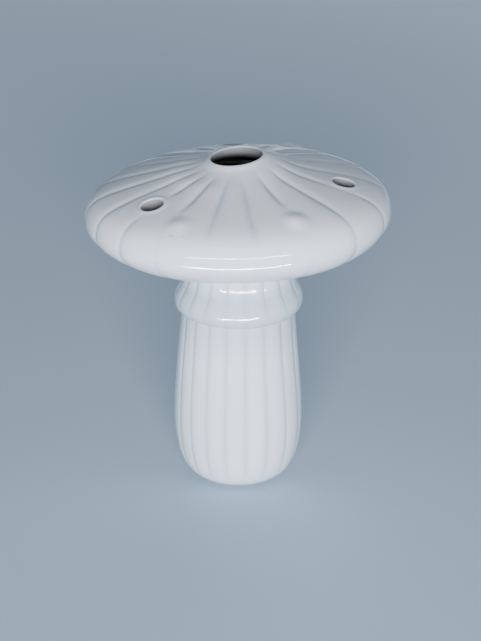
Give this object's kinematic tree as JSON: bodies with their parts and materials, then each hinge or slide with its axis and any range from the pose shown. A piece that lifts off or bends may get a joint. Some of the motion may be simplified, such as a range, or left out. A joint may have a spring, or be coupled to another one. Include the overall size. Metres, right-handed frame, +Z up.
{
  "type": "flower frog",
  "caption": "Free-standing hollow ceramic mushroom that holds cut flower stems: a lobed cap with a wide crown hole and small stem holes, on a fluted stem with a collar band.",
  "frame": {"origin": "centre of the foot, on the table", "axes": "+Z up along the stem; -Y is the front, with the two front dots; +X is to the right seen from the front"},
  "size_m": [0.1116, 0.1116, 0.1268],
  "materials": {
    "white_glaze": "glossy transparent glaze over white earthenware",
    "bare_clay": "unglazed fired clay, wiped clean of glaze",
    "joining_slip": "matt fired slip"
  },
  "bodies": {
    "root": {"cap_dome": "white_glaze", "cap_underside": "white_glaze", "cap_dot_left": "white_glaze", "cap_dot_right": "white_glaze", "cap_dot_back": "white_glaze", "neck": "white_glaze", "collar_band": "white_glaze", "stem": "white_glaze", "foot_ring": "bare_clay", "rim_slip_seam": "joining_slip", "neck_slip_seam": "joining_slip", "band_slip_seam": "joining_slip"}
  },
  "joints": []
}
